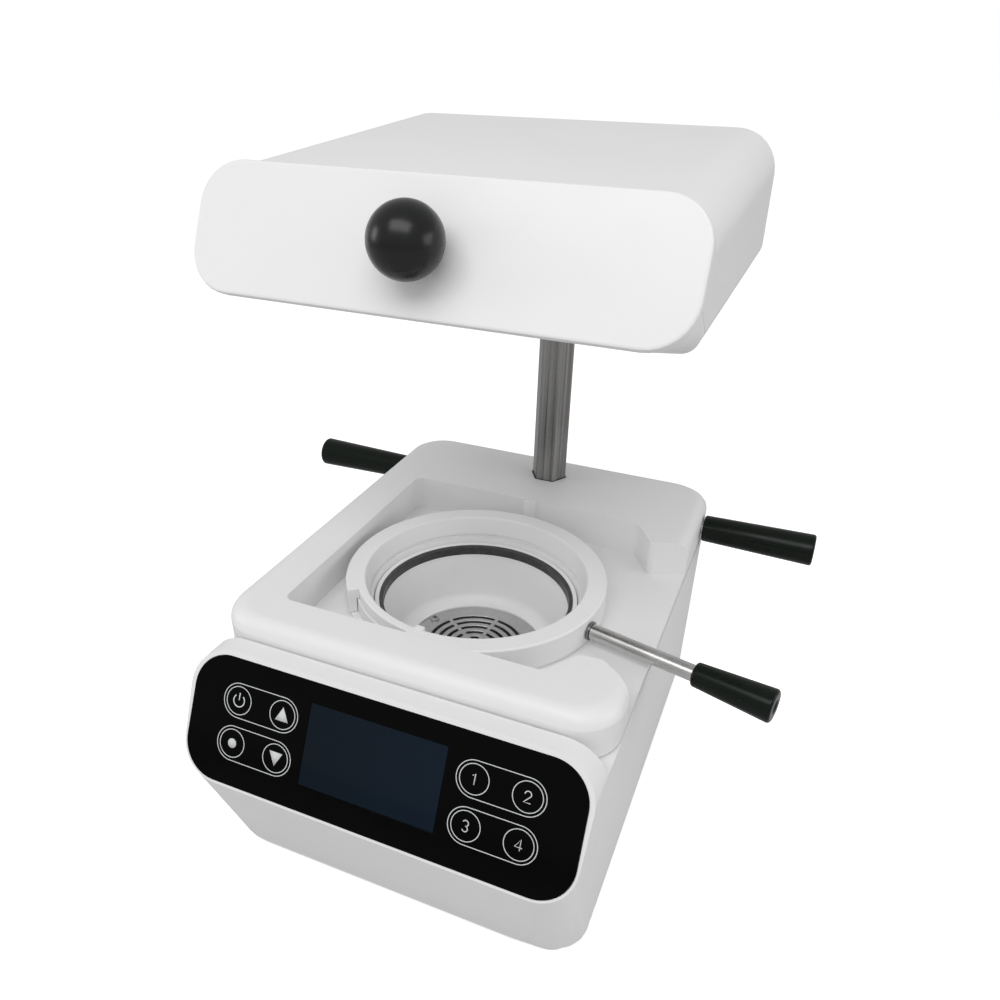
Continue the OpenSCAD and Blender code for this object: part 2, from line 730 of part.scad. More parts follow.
// Tapered grip with a rounded shoulder and a dished end, drawn as one outline
module taper_grip(r_small, r_big, length, bore_r, bore_h) {
    edge = 1.6;
    rotate_extrude() polygon(concat(
        [[bore_r, 0], [r_small - 0.8, 0], [r_small, 0.8]],
        [for (a = [0:18:90]) [r_big - edge + edge * cos(a), length - edge + edge * sin(a)]],
        [[r_big * 0.45, length], [r_big * 0.3, length - 0.8], [0, length - 0.8],
            [0, bore_h], [bore_r, bore_h]]));
}

module lever_grip() {
    color("black") at_lever() translate([0, 0, lever_grip_in + seat / 3])
        taper_grip(6.2, 8.4, lever_grip_len - seat / 3, lever_d / 2 - 1.2 + fit, 30);
}

module handle_rod(side) {
    color("gainsboro") at_column() translate([side * (half_w - 27.6), -handle_y, handle_z])
        rotate([0, side * 90, 0]) cylinder(d = handle_rod_d, h = 27.6 + grip_len - 14);
}
module left_handle_rod() { handle_rod(-1); }
module right_handle_rod() { handle_rod(1); }

module side_grip(side) {
    color("black") at_column() translate([side * (half_w + 1), -handle_y, handle_z])
        rotate([0, side * 90, 0])
            taper_grip(8.3, 9.7, grip_len, handle_rod_d / 2 + fit, grip_len - 12);
}
module left_grip() { side_grip(-1); }
module right_grip() { side_grip(1); }

// The face's plane: x across, y up the slope from the front plate's lower edge, z out of it
module at_head_face() {
    translate([0, -head_front, head_z + fascia_low]) rotate([90 - face_lean, 0, 0]) children();
}

// Outline of the head from the front, with different radii below and above
module head_outline(w, low, high, r_low, r_high) {
    for (x = [-1, 1]) {
        translate([x * (w / 2 - r_low), low + r_low]) circle(r = r_low);
        translate([x * (w / 2 - r_high), high - r_high]) circle(r = r_high);
    }
    translate([-w / 2, low + r_low]) square([w, high - low - r_low - r_high]);
    translate([-w / 2 + r_low, low]) square([w - 2 * r_low, r_low + 1]);
    translate([-w / 2 + r_high, high - r_high - 1]) square([w - 2 * r_high, r_high + 1]);
}

// Head form behind the front plate, drawn inwards by a wall
module head_form(wall) {
    end_r = 27;
    w = head_w - 0.8 - 2 * wall;
    r_low = 8 - wall / 2;
    r_high = 22 - wall / 2;
    behind = fascia_t + gap + wall;
    rise = 3;
    face_low_edge = (wall + rise - fascia_low + (behind + 0.1) * sin(face_lean)) / cos(face_lean);
    hull() {
        at_head_face() translate([0, 0, -behind - 0.1]) linear_extrude(0.1)
            head_outline(w, face_low_edge, face_len - 0.5 - wall, 19 - wall / 2, r_high,
                $fn = hull_fn);
        translate([0, -head_front + 19, 0]) rotate([90, 0, 0]) linear_extrude(0.1)
            head_outline(w, head_z + wall, head_z + 21, r_low, 6, $fn = hull_fn);
        for (a = [0, 22.5, 45, 67.5, 84]) {
            in = end_r * (1 - cos(a));
            translate([0, head_rear - wall - end_r + end_r * sin(a), 0]) rotate([90, 0, 0])
                linear_extrude(0.1) head_outline(w - 2 * in, head_z + wall + in,
                    head_z + head_h - wall - in, r_low - in / 6, r_high - in / 2,
                    $fn = hull_fn);
        }
    }
}

// Everything below the seam between cover and shell, which climbs behind the front plate
module below_seam(raise) {
    rise = 17.5;
    foot_y = head_front - 28;
    translate([-base_w, 0, head_z]) rotate([90, 0, 90]) linear_extrude(2 * base_w) polygon([
        [-2 * head_front, -1], [head_front, -1], [head_front, cover_t + raise],
        [-foot_y + 0.4 * raise, cover_t + raise], [-foot_y - 1.2 * rise, cover_t + raise + rise],
        [-2 * head_front, cover_t + raise + rise]]);
}

module head_top_shell() {
    joint_z = head_z + cover_t + gap;
    color("white") at_column() difference() {
        head_form(0);
        difference() {
            head_form(head_wall);
            for (p = head_screw_places) translate([p[0], p[1], joint_z])
                cylinder(r = 5, h = head_h);
        }
        below_seam(gap);
        for (p = head_screw_places) translate([p[0], p[1], head_z])
            cylinder(r = 1.85, h = 16);
        stud_hole();
    }
}

module head_bottom_cover() {
    color("white") difference() {
        at_column() difference() {
            intersection() {
                head_form(0);
                below_seam(0);
            }
            difference() {
                head_form(floor_t);
                for (p = head_screw_places) translate([p[0], p[1], head_z])
                    cylinder(r = 5, h = cover_t);
            }
            translate([0, 0, head_z - 1]) cylinder(r = hex_r + 1.5, h = 20);
            for (p = head_screw_places) translate([p[0], p[1], head_z - 1])
                cylinder(r = 2, h = 20);
        }
        at_ring() translate([0, 0, head_z - 1]) cylinder(r = heater_r + 5, h = 20);
    }
}

head_screw_places = [for (x = [-1, 1], y = [-148, -8]) [x * (head_w / 2 - 23), y]];
module head_screws() {
    color("silver") at_column() for (p = head_screw_places) translate([p[0], p[1], head_z]) {
        translate([0, 0, -1.45]) cylinder(r = 3.4, h = 1.4);
        translate([0, 0, -0.05]) cylinder(r = 1.8, h = 12);
    }
}

// Front plate of the head, leaning back with the face, with a rounded rim
module head_fascia() {
    round = 1.6;
    color("white") at_column() difference() {
        at_head_face() hull() {
            translate([0, 0, -fascia_t]) linear_extrude(fascia_t - round)
                head_outline(head_w, 0, face_len, 20, 20, $fn = hull_fn);
            translate([0, 0, -0.35 * round]) linear_extrude(0.05)
                head_outline(head_w - 0.6 * round, 0.3 * round, face_len - 0.3 * round, 19.5, 19.5,
                    $fn = hull_fn);
            translate([0, 0, -0.05]) linear_extrude(0.05)
                head_outline(head_w - 2 * round, round, face_len - round, 18.4, 18.4,
                    $fn = hull_fn);
        }
        stud_hole();
    }
}

knob_out = knob_d / 2 + 0.8;
knob_up = 27.5;
stud_r = 3;
stud_in = fascia_t + gap + head_wall + 7;
module at_knob() { at_head_face() translate([0, knob_up, 0]) children(); }
module stud_hole() {
    at_knob() translate([0, 0, -60]) cylinder(r = stud_r + 0.1, h = 70);
}

module ball_knob() {
    color("black") at_column() at_knob() translate([0, 0, knob_out]) rotate_extrude()
        difference() {
            union() {
                circle(d = knob_d);
                translate([0, -knob_out + 0.1]) square([5, 6]);
            }
            translate([-knob_d, -knob_d]) square([knob_d, 2 * knob_d]);
            translate([-1, -knob_d]) square([stud_r + fit + 1, knob_d]);
        }
}

module knob_stud() {
    color("silver") at_column() at_knob() translate([0, 0, -stud_in])
        cylinder(r = stud_r, h = stud_in + knob_out - 0.5);
}

// Nut that pulls the stud, the front plate and the shell's front wall together
module knob_nut() {
    color("silver") at_column() at_knob()
        translate([0, 0, -fascia_t - gap - head_wall - 4.8]) difference() {
            cylinder(r = 5.6, h = 4.5, $fn = 6);
            translate([0, 0, -1]) cylinder(r = stud_r + fit, h = 10);
        }
}

module pivot_hub() {
    hub_z = shoulder_z + 2;
    color("gray") at_column() difference() {
        union() {
            translate([0, 0, hub_z]) cylinder(r = hub_r, h = spigot_h - 6);
            translate([-46, -20, hub_z + spigot_h - 10]) cube([92, 34, 4]);
            for (x = [-1, 1]) translate([x * 38, -3, head_z + floor_t + fit])
                cylinder(r = 6, h = hub_z + spigot_h - 8 - head_z - floor_t - fit);
        }
        translate([0, 0, hub_z - 1]) cylinder(r = spigot_d / 2 + 3, h = 80);
    }
}

module pivot_bush() {
    color("goldenrod") at_column() translate([0, 0, shoulder_z + 2])
        tube(spigot_d / 2 + 3 - fit / 2, spigot_d / 2 + fit, spigot_h - 6);
}

module thrust_washer() {
    color("goldenrod") at_column() translate([0, 0, shoulder_z + 0.1])
        tube(hub_r - 4, spigot_d / 2 + 0.1, 1.8);
}

module spigot_nut() {
    color("silver") at_column() translate([0, 0, shoulder_z + spigot_h - 3.6]) difference() {
        cylinder(r = 12, h = 6, $fn = 6);
        translate([0, 0, -1]) cylinder(r = spigot_d / 2 + fit / 2, h = 20);
    }
}

// Heater over the foil: a spun dish, an element of round turns and its ceramic posts
dish_z = head_z + floor_t + fit;
element_z = dish_z + 8;
turns = [12, 21, 30, 39];
terminal_x = 3;
module reflector() {
    color("silver") at_ring() translate([0, 0, dish_z]) difference() {
        rotate_extrude() polygon([
            [heater_r + 7, 0], [heater_r + 7, 1], [heater_r + 2.6, 1], [heater_r - 3, 18],
            [0, 18], [0, 17], [heater_r - 3.7, 17], [heater_r + 1.8, 0]]);
        for (x = [-1, 1]) translate([x * terminal_x, turns[3], 10]) cylinder(r = 1.8, h = 20);
    }
}

module insulation_pad() {
    color("lightgray") at_ring() translate([0, 0, dish_z + 18.05]) difference() {
        cylinder(r = heater_r - 3.5, h = 8);
        for (x = [-1, 1]) translate([x * terminal_x, turns[3], -1]) cylinder(r = 1.8, h = 20);
    }
}

module heater_element() {
    wire = 2.6;
    color("sienna") at_ring() translate([0, 0, element_z]) {
        for (r = turns) rotate_extrude() translate([r, 0]) circle(r = wire, $fn = 24);
        for (i = [0:2]) translate([0, (i % 2 == 0 ? -1 : 1) * (turns[i] + turns[i + 1]) / 2, 0])
            rotate([90, 0, 0]) cylinder(r = 1.8, h = turns[i + 1] - turns[i], center = true,
                $fn = 24);
        for (x = [-1, 1]) translate([x * terminal_x, turns[3], 0])
            cylinder(r = 1.4, h = dish_z + 26.1 - element_z, $fn = 24);
    }
}

module heater_posts() {
    color("ivory") at_ring() for (a = [30, 150, 270]) rotate([0, 0, a])
        for (r = [turns[1], turns[3]]) translate([r, 0, element_z + 2.65])
            cylinder(r = 2.6, h = dish_z + 17 - element_z - 2.65 - fit);
}

// Leads from the terminals over the nut to the top of the wiring bore
module heater_leads() {
    r = 1.7;
    low = dish_z + 26.15 + r;
    high = shoulder_z + spigot_h + 7.05 + r;
    from = -ring_reach + turns[3] - 2;
    color("firebrick") at_column() for (x = [-1, 1]) translate([x * terminal_x, 0, 0]) {
        translate([0, from, low]) rotate([-90, 0, 0]) cylinder(r = r, h = -24 - from);
        translate([0, -24, low - r]) cylinder(r = r, h = high - low + 2 * r);
        translate([0, -24, high]) rotate([-90, 0, 0]) cylinder(r = r, h = 24);
    }
}

body_shell();
base_plate();
base_screws();
feet();
rear_panel();
rear_screws();
mains_inlet();
inlet_pins();
switch_frame();
switch_rocker();
control_panel();
display();
control_board();
power_board();
transformer();
bowl();
bowl_seal();
grille_disc();
grille_screws();
column();
column_socket();
socket_screws();
column_wiring();
suction_elbow();
fan_housing();
fan_impeller();
motor_can();
motor_mounts();
tray();
guide_bush();
bush_screws();
seat_ring();
bayonet_pins();
left_handle_rod();
right_handle_rod();
left_grip();
right_grip();
clamp_ring();
lever_collar();
lever_rod();
lever_grip();
head_top_shell();
head_bottom_cover();
head_fascia();
head_screws();
ball_knob();
knob_stud();
knob_nut();
pivot_hub();
pivot_bush();
thrust_washer();
spigot_nut();
reflector();
insulation_pad();
heater_element();
heater_posts();
heater_leads();
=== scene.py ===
"""Dental vacuum former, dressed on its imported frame.

Metres, +Z up, origin on the bench below the middle of the machine. The moulded covers are
merged copies of the frame's own solids with softened edges. The clamp ring, the bowl's seal,
the grille, the skins over the tray's corners and the printed signs are surfaces worked out
here from their formulas, with their sizes in millimetres.
"""

import json
import math

import bmesh
import bpy
import numpy as np
from mathutils import Matrix


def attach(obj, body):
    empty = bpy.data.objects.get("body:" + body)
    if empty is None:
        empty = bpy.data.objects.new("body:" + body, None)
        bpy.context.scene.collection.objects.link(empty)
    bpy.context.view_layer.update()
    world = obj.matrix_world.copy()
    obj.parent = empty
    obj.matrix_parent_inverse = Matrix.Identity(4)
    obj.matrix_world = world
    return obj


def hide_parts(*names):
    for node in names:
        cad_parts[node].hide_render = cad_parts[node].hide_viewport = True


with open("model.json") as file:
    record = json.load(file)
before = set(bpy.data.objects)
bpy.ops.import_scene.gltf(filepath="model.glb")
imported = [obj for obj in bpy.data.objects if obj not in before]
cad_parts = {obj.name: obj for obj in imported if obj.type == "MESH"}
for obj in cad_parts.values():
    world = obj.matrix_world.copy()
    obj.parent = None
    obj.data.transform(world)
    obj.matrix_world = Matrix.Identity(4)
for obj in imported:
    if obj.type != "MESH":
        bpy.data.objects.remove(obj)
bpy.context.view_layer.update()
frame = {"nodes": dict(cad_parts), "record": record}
BODIES = frame["record"]["behaviour"]["bodies"]
BODY_OF = {node: body for body, nodes in BODIES.items() for node in nodes}
SLOT_OF = {part["node"]: part["material_slot"] for part in frame["record"]["subparts"]}

# Places in metres that several pieces share

MM = 0.001
COLUMN_Y = 0.114552
RING_Y = -0.010448
TRAY_TOP = 0.131
RING_AXIS = (0, RING_Y, 0)


# Camera, at the photograph's place

CAMERA_PLACE = (0.15626, -0.39080, 0.38766)
CAMERA_TURN = 22.863
CAMERA_TILT = 27.801
CAMERA_ROLL = 0.952
CAMERA_LENS = 31.163
CAMERA_SHIFT = 0.029


def place_camera():
    """Camera turned about Z, tilted down and then rolled about its own line of sight.

    With the turn t and the tilt e, its back direction is (cos e sin t, -cos e cos t, sin e).
    """
    turn, tilt, roll = np.radians((CAMERA_TURN, CAMERA_TILT, CAMERA_ROLL))
    back = np.array([np.cos(tilt) * np.sin(turn), -np.cos(tilt) * np.cos(turn), np.sin(tilt)])
    level = np.array([np.cos(turn), np.sin(turn), 0])
    right = np.cos(roll) * level + np.sin(roll) * np.cross(back, level)
    place = np.eye(4)
    place[:3] = np.stack([right, np.cross(back, right), back, CAMERA_PLACE], 1)
    data = bpy.data.cameras.new("view_camera")
    data.sensor_width = 36
    data.lens = CAMERA_LENS
    data.shift_x = CAMERA_SHIFT
    data.clip_start = 0.01
    data.clip_end = 20
    cam = bpy.data.objects.new("view_camera", data)
    bpy.context.scene.collection.objects.link(cam)
    cam.matrix_world = Matrix(place.tolist())
    bpy.context.scene.camera = cam


place_camera()


# Finishes

def shader(name):
    """A new material with its nodes, its links and its shader node."""
    mat = bpy.data.materials.new(name)
    mat.use_nodes = True
    return mat, mat.node_tree.nodes, mat.node_tree.links, mat.node_tree.nodes["Principled BSDF"]


def noise(nodes, links, scale, detail, stretch=(1, 1, 1)):
    """Noise over the piece's own coordinates, stretched along the axes."""
    where = nodes.new("ShaderNodeTexCoord")
    move = nodes.new("ShaderNodeMapping")
    move.inputs["Scale"].default_value = stretch
    tex = nodes.new("ShaderNodeTexNoise")
    tex.inputs["Scale"].default_value = scale
    tex.inputs["Detail"].default_value = detail
    links.new(where.outputs["Object"], move.inputs["Vector"])
    links.new(move.outputs["Vector"], tex.inputs["Vector"])
    return tex.outputs["Fac"]


def ramp(nodes, links, source, socket, low, high, start=0.35, end=0.65):
    """Feeds the socket a colour or grey that runs from low to high over the source's range."""
    band = nodes.new("ShaderNodeValToRGB")
    first, last = band.color_ramp.elements
    first.position, last.position = start, end
    first.color, last.color = (*low, 1), (*high, 1)
    links.new(source, band.inputs["Fac"])
    links.new(band.outputs["Color"], socket)


def bump(nodes, links, bsdf, source, height, strength):
    """Surface relief of that height in metres."""
    relief = nodes.new("ShaderNodeBump")
    relief.inputs["Strength"].default_value = strength
    relief.inputs["Distance"].default_value = height
    links.new(source, relief.inputs["Height"])
    links.new(relief.outputs["Normal"], bsdf.inputs["Normal"])


def satin_moulding(name, tone, rough):
    """Injection-moulded plastic: faint mottling, fine spark grain, uneven gloss."""
    mat, nodes, links, bsdf = shader(name)
    bsdf.inputs["Specular IOR Level"].default_value = 0.45
    cloud = noise(nodes, links, scale=14, detail=4)
    ramp(nodes, links, cloud, bsdf.inputs["Base Color"], (tone * 0.985,) * 3, (tone,) * 3)
    sheen = noise(nodes, links, scale=60, detail=2)
    ramp(nodes, links, sheen, bsdf.inputs["Roughness"], (rough - 0.03,) * 3, (rough + 0.03,) * 3)
    fine = noise(nodes, links, scale=2600, detail=2)
    bump(nodes, links, bsdf, fine, height=0.00002, strength=0.35)
    return mat


def gloss_black(name, tone, rough, shine, tint):
    """Polished dark resin with very fine wear in its gloss."""
    mat, nodes, links, bsdf = shader(name)
    bsdf.inputs["Specular IOR Level"].default_value = shine
    cloud = noise(nodes, links, scale=30, detail=3)
    ramp(nodes, links, cloud, bsdf.inputs["Base Color"],
         tuple(tone * t for t in tint), tuple(tone * 1.4 * t for t in tint))
    wear = noise(nodes, links, scale=180, detail=4)
    ramp(nodes, links, wear, bsdf.inputs["Roughness"], (rough,) * 3, (rough + 0.06,) * 3)
    wave = noise(nodes, links, scale=90, detail=2)
    bump(nodes, links, bsdf, wave, height=0.00001, strength=0.3)
    return mat


def drawn_steel(name, tone, rough, lines, stretch=(1, 1, 1), tint=(1, 1, 1), depth=0.14):
    """Metal with fine lines: noise that may be stretched along the drawing direction."""
    mat, nodes, links, bsdf = shader(name)
    bsdf.inputs["Metallic"].default_value = 1.0
    grain = noise(nodes, links, scale=lines, detail=3, stretch=stretch)
    ramp(nodes, links, grain, bsdf.inputs["Base Color"],
         tuple(tone * (1 - depth) * t for t in tint), tuple(tone * t for t in tint))
    ramp(nodes, links, grain, bsdf.inputs["Roughness"], (rough,) * 3, (rough + 0.12,) * 3)
    bump(nodes, links, bsdf, grain, height=0.00002, strength=0.25)
    return mat


def soft_rubber(name, colour, rough):
    """Rubber with a dusty, slightly uneven surface."""
    mat, nodes, links, bsdf = shader(name)
    bsdf.inputs["Roughness"].default_value = rough
    cloud = noise(nodes, links, scale=220, detail=5)
    ramp(nodes, links, cloud, bsdf.inputs["Base Color"],
         colour, tuple(c * 1.35 + 0.004 for c in colour))
    dust = noise(nodes, links, scale=1400, detail=3)
    bump(nodes, links, bsdf, dust, height=0.00004, strength=0.5)
    return mat


def speckled(name, colour, rough, metal=0.0, scale=500, depth=0.00004, spread=0.15):
    """Painted, cast, woven or glazed surface with speckles of its own colour."""
    mat, nodes, links, bsdf = shader(name)
    bsdf.inputs["Roughness"].default_value = rough
    bsdf.inputs["Metallic"].default_value = metal
    fleck = noise(nodes, links, scale=scale, detail=4)
    ramp(nodes, links, fleck, bsdf.inputs["Base Color"],
         tuple(c * (1 - spread) for c in colour), tuple(min(1, c * (1 + spread)) for c in colour))
    bump(nodes, links, bsdf, fleck, height=depth, strength=0.4)
    return mat


def unlit_display(name):
    """Unlit display: blue-black glass with a painted reflection that makes it a little lighter to
    the right, and a fine pixel grain.
    """
    mat, nodes, links, bsdf = shader(name)
    bsdf.inputs["Specular IOR Level"].default_value = 0.14
    bsdf.inputs["Roughness"].default_value = 0.08
    per_metre, middle = 12.5, 0.5
    where = nodes.new("ShaderNodeTexCoord")
    split = nodes.new("ShaderNodeSeparateXYZ")
    across = nodes.new("ShaderNodeMath")
    across.operation = "MULTIPLY_ADD"
    across.inputs[1].default_value = per_metre
    across.inputs[2].default_value = middle
    links.new(where.outputs["Object"], split.inputs["Vector"])
    links.new(split.outputs["X"], across.inputs[0])
    # Painted reflection: the glass colour grows lighter towards the right
    ramp(nodes, links, across.outputs["Value"], bsdf.inputs["Base Color"],
         (0.002, 0.006, 0.011), (0.003, 0.009, 0.019), start=0.0, end=1.0)
    pixels = noise(nodes, links, scale=3000, detail=1)
    bump(nodes, links, bsdf, pixels, height=0.000004, strength=0.3)
    return mat


FINISH = {
    "white_moulding": satin_moulding("white_moulding", tone=0.80, rough=0.42),
    "white_fascia": satin_moulding("white_fascia", tone=0.82, rough=0.36),
    "white_ring": satin_moulding("white_ring", tone=0.80, rough=0.40),
    "black_moulding": satin_moulding("black_moulding", tone=0.02, rough=0.38),
    "foot_rubber": soft_rubber("foot_rubber", (0.012, 0.012, 0.012), rough=0.62),
    "seal_rubber": soft_rubber("seal_rubber", (0.032, 0.032, 0.032), rough=0.42),
    "lead_rubber": soft_rubber("lead_rubber", (0.16, 0.012, 0.01), rough=0.5),
    "panel_gloss": gloss_black("panel_gloss", tone=0.0008, rough=0.06, shine=0.06,
                               tint=(1, 1.15, 0.9)),
    "grip_gloss": gloss_black("grip_gloss", tone=0.0045, rough=0.18, shine=0.16,
                              tint=(0.75, 1.3, 0.85)),
    "display_glass": unlit_display("display_glass"),
    "brushed_column": drawn_steel("brushed_column", tone=0.36, rough=0.22, lines=420,
                                  stretch=(1, 1, 0.012), tint=(1.0, 0.985, 0.97), depth=0.5),
    "chrome_rod": drawn_steel("chrome_rod", tone=0.58, rough=0.18, lines=60,
                              tint=(1.0, 0.99, 0.98), depth=0.08),
    "aluminium": drawn_steel("aluminium", tone=0.62, rough=0.30, lines=900),
    "fastener_steel": drawn_steel("fastener_steel", tone=0.55, rough=0.28, lines=1200),
    "zinc_plate": speckled("zinc_plate", (0.62, 0.63, 0.64), rough=0.45, spread=0.07),
    "dark_collar": speckled("dark_collar", (0.22, 0.22, 0.22), rough=0.25, metal=1.0),
    "cast_grey": speckled("cast_grey", (0.20, 0.21, 0.22), rough=0.55, metal=0.2, scale=900,
                          depth=0.0001),
    "bronze": speckled("bronze", (0.45, 0.28, 0.10), rough=0.4, metal=0.8),
    "board": speckled("board", (0.01, 0.10, 0.03), rough=0.4, spread=0.3),
    "insulation": speckled("insulation", (0.70, 0.68, 0.64), rough=0.9, scale=700, depth=0.0002),
    "heater_sheath": speckled("heater_sheath", (0.10, 0.06, 0.05), rough=0.5, metal=0.5),
    "ceramic": speckled("ceramic", (0.75, 0.70, 0.62), rough=0.25),
}
KNOB_GLOSS = gloss_black("knob_gloss", tone=0.0045, rough=0.24, shine=0.34,
                         tint=(0.9, 1.15, 0.95))
KEY_PRINT = speckled("key_print", (0.62, 0.64, 0.64), rough=0.5, scale=900, depth=0.00001,
                     spread=0.06)


# Making pieces

def finish_mesh(mesh, finish, smooth):
    """Gives the mesh its finish, and smooth shading with sharp edges above the angle."""
    mesh.materials.clear()
    mesh.materials.append(finish)
    bm = bmesh.new()
    bm.from_mesh(mesh)
    limit = math.radians(smooth)
    for face in bm.faces:
        face.smooth = True
    for edge in bm.edges:
        edge.smooth = not (len(edge.link_faces) == 2 and edge.calc_face_angle(0) > limit)
    bm.to_mesh(mesh)
    bm.free()


def face_outwards(mesh):
    """Merges doubled points and turns the faces of a closed mesh outwards."""
    bm = bmesh.new()
    bm.from_mesh(mesh)
    bmesh.ops.remove_doubles(bm, verts=bm.verts, dist=1e-7)
    bmesh.ops.recalc_face_normals(bm, faces=bm.faces)
    bm.to_mesh(mesh)
    bm.free()


def piece(name, shape, node, slot=None, finish=None, smooth=40, stands_for=False, closed=True):
    """Mesh piece from its points and faces, which rides on the node's body.

    It takes the node's material slot unless another is named, and replaces the node if it
    stands for it. Edges above the angle smooth, in degrees, stay sharp.
    """
    verts, faces = shape
    slot = slot or SLOT_OF[node]
    mesh = bpy.data.meshes.new(name)
    mesh.from_pydata(np.asarray(verts, float).tolist(), [], [tuple(face) for face in faces])
    if closed:
        face_outwards(mesh)
    finish_mesh(mesh, finish or FINISH[slot], smooth)
    obj = bpy.data.objects.new(name, mesh)
    bpy.context.scene.collection.objects.link(obj)
    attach(obj, BODY_OF[node])
    if stands_for:
        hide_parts(node)
    return obj


def soften(obj, width, angle=38, segments=2):
    """Rounds the piece's edges above that angle, with even shading on the flats."""
    edge = obj.modifiers.new("soft_edges", "BEVEL")
    edge.width = width
    edge.segments = segments
    edge.limit_method = "ANGLE"
    edge.angle_limit = math.radians(angle)
    edge.use_clamp_overlap = True
    edge.harden_normals = False
    even = obj.modifiers.new("even_shading", "WEIGHTED_NORMAL")
    even.keep_sharp = True
    even.weight = 80


def thicken(obj, thickness):
    """Gives flat strips a thickness in metres, half to each side."""
    wall = obj.modifiers.new("thickness", "SOLIDIFY")
    wall.thickness = thickness
    wall.offset = 0


def cad_copy(node, edge, finish=None, angle=38):
    """Merged copy of a frame solid, its coplanar triangles joined and its edges softened.

    The softened edges are those above the angle in degrees, and edge is their width in metres.
    Where it is nothing, the copy has sharp edges above 30 degrees instead.
    """
    mesh = frame["nodes"][node].data.copy()
    mesh.name = node + "_form"
    for name in [a.name for a in mesh.attributes if a.name == "custom_normal"]:
        mesh.attributes.remove(mesh.attributes[name])
    bm = bmesh.new()
    bm.from_mesh(mesh)
    bmesh.ops.remove_doubles(bm, verts=bm.verts, dist=2e-6)
    bmesh.ops.dissolve_limit(bm, angle_limit=math.radians(0.4), verts=bm.verts, edges=bm.edges)
    bm.to_mesh(mesh)
    bm.free()
    finish_mesh(mesh, finish or FINISH[SLOT_OF[node]], 180 if edge else 30)
    obj = bpy.data.objects.new(node + "_form", mesh)
    bpy.context.scene.collection.objects.link(obj)
    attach(obj, BODY_OF[node])
    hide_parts(node)
    if edge:
        soften(obj, edge, angle)
    return obj


def rounded_profile(points):
    """Profile whose corners are arcs of six points: each point is (x, y, corner radius)."""
    points = np.asarray(points, float)
    places, radii = points[:, :2], points[:, 2]
    out = []
    for i, (here, radius) in enumerate(zip(places, radii)):
        if radius <= 0 or i in (0, len(points) - 1):
            out.append(here)
            continue
        before = places[i - 1] - here
        after = places[i + 1] - here
        before_length, after_length = np.linalg.norm(before), np.linalg.norm(after)
        before, after = before / before_length, after / after_length
        half = math.acos(np.clip(before @ after, -1, 1)) / 2
        cut = min(radius / math.tan(half), before_length * 0.49, after_length * 0.49)
        mid = (before + after) / np.linalg.norm(before + after)
        centre = here + mid * (cut * math.tan(half) / math.sin(half))
        start, end = here + before * cut - centre, here + after * cut - centre
        turn = math.atan2(start[0] * end[1] - start[1] * end[0], start @ end)
        for t in np.linspace(0, turn, 6):
            c, s = math.cos(t), math.sin(t)
            out.append(centre + np.array([c * start[0] - s * start[1],
                                          s * start[0] + c * start[1]]))
    return np.array(out)


def grid_faces(rows, columns, wrap_rows=False, wrap_columns=False):
    """Four-cornered faces of a grid of points, which may close on itself either way."""
    i, j = np.meshgrid(np.arange(rows if wrap_rows else rows - 1),
                       np.arange(columns if wrap_columns else columns - 1), indexing="ij")
    k, m = (i + 1) % rows, (j + 1) % columns
    corners = [i * columns + j, i * columns + m, k * columns + m, k * columns + j]
    return np.stack(corners, -1).reshape(-1, 4)


def revolve(profile, centre, steps, closed=True):
    """Points (r cos u, r sin u, h) over the profile (r, h) and the turn u, about the centre.

    A profile point on the axis closes the surface there.
    """
    r, h = np.asarray(profile, float).T
    u = np.linspace(0, 2 * np.pi, steps, endpoint=False)
    grid = np.stack([np.outer(r, np.cos(u)), np.outer(r, np.sin(u)),
                     np.repeat(h[:, None], steps, 1)], -1)
    return grid.reshape(-1, 3) + centre, grid_faces(len(r), steps, closed, True)


def turned(name, points, node, centre=RING_AXIS, steps=96, closed=True, smooth=35, slot=None,
           stands_for=False):
    """Turned piece: a rounded profile in millimetres swept round an upright axis."""
    shape = revolve(rounded_profile(points) * MM, centre, steps, closed)
    return piece(name, shape, node, slot, smooth=smooth, stands_for=stands_for)


def sector(name, points, turns, node, stands_for=False, edge=0.0004):
    """Solid swept from a closed profile in millimetres through a part of a turn, with flat ends.

    Its points are (r cos u, r sin u, h) over the turn u and the profile (r, h).
    """
    r, h = (np.asarray(points, float) * MM).T
    steps = max(8, int(abs(turns[1] - turns[0]) / 2.5))
    u = np.radians(np.linspace(*turns, steps + 1))
    grid = np.stack([np.outer(np.cos(u), r), np.outer(np.sin(u), r),
                     np.repeat(h[None], steps + 1, 0)], -1)
    ends = [tuple(range(len(r))), tuple(range((steps + 1) * len(r) - 1, steps * len(r) - 1, -1))]
    faces = grid_faces(steps + 1, len(r), wrap_columns=True).tolist() + ends
    obj = piece(name, (grid.reshape(-1, 3) + RING_AXIS, faces), node, smooth=180,
                stands_for=stands_for)
    soften(obj, edge, angle=30, segments=3)


def join(parts):
    """One list of points and faces from several."""
    verts, faces, base = [], [], 0
    for part_verts, part_faces in parts:
        verts.append(part_verts)
        faces += [tuple(int(corner) + base for corner in face) for face in part_faces]
        base += len(part_verts)
    return np.vstack(verts), faces


def points_of(obj):
    """Points of the piece's mesh, in metres."""
    flat = np.empty(3 * len(obj.data.vertices), np.float32)
    obj.data.vertices.foreach_get("co", flat)
    return flat.reshape(-1, 3).astype(float)


def move_points(obj, points):
    """Puts the points back into the piece's mesh."""
    obj.data.vertices.foreach_set("co", points.astype(np.float32).ravel())
    obj.data.update()


# Glossy panel: x across, y down the slope from the panel's upper edge, z out of the face

